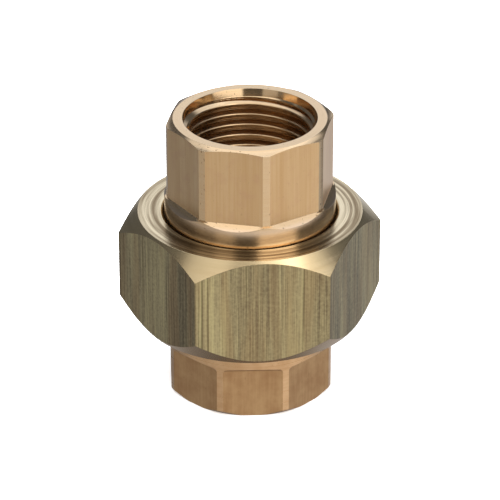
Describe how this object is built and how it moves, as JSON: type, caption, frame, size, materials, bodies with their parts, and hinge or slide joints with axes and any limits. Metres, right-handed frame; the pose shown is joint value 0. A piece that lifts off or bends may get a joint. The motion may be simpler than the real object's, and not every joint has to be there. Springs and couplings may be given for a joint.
{
  "type": "pipe union",
  "caption": "Straight metal pipe union: a hexagonal nut draws a tailpiece and a threaded body together on a flat seal, with a female pipe thread at each end.",
  "frame": {"origin": "centre of the lower end face, on the waterway's axis", "axes": "+Z along the waterway from the threaded body to the tailpiece; -Y is the front"},
  "size_m": [0.0418, 0.0384, 0.0465],
  "materials": {
    "gunmetal_body": "satin cast and machined gunmetal",
    "gunmetal_tail": "fine machined gunmetal",
    "nut_brass": "drawn bar flats with turned bevels",
    "seal_fibre": "matt compressed fibre"
  },
  "bodies": {
    "body": {"threaded_body": "gunmetal_body"},
    "seal": {"seal_gasket": "seal_fibre"},
    "tail": {"tailpiece": "gunmetal_tail"},
    "nut": {"union_nut": "nut_brass"}
  },
  "joints": [
    {"name": "tail_lift", "type": "slide", "parent": "body", "child": "seal", "axis": [0, 0, 1], "range_m": [0, 0.0104]},
    {"name": "tail_swivel", "type": "hinge", "parent": "seal", "child": "tail", "pos_m": [0, 0, 0.0355], "axis": [0, 0, 1], "continuous": true},
    {"name": "nut_turn", "type": "hinge", "parent": "seal", "child": "nut", "pos_m": [0, 0, 0.0214], "axis": [0, 0, 1], "range_deg": [0, 1620]}
  ],
  "couplings": [
    {"joint": "tail_lift", "follows": "nut_turn", "m_per_rad": 0.0003675}
  ]
}
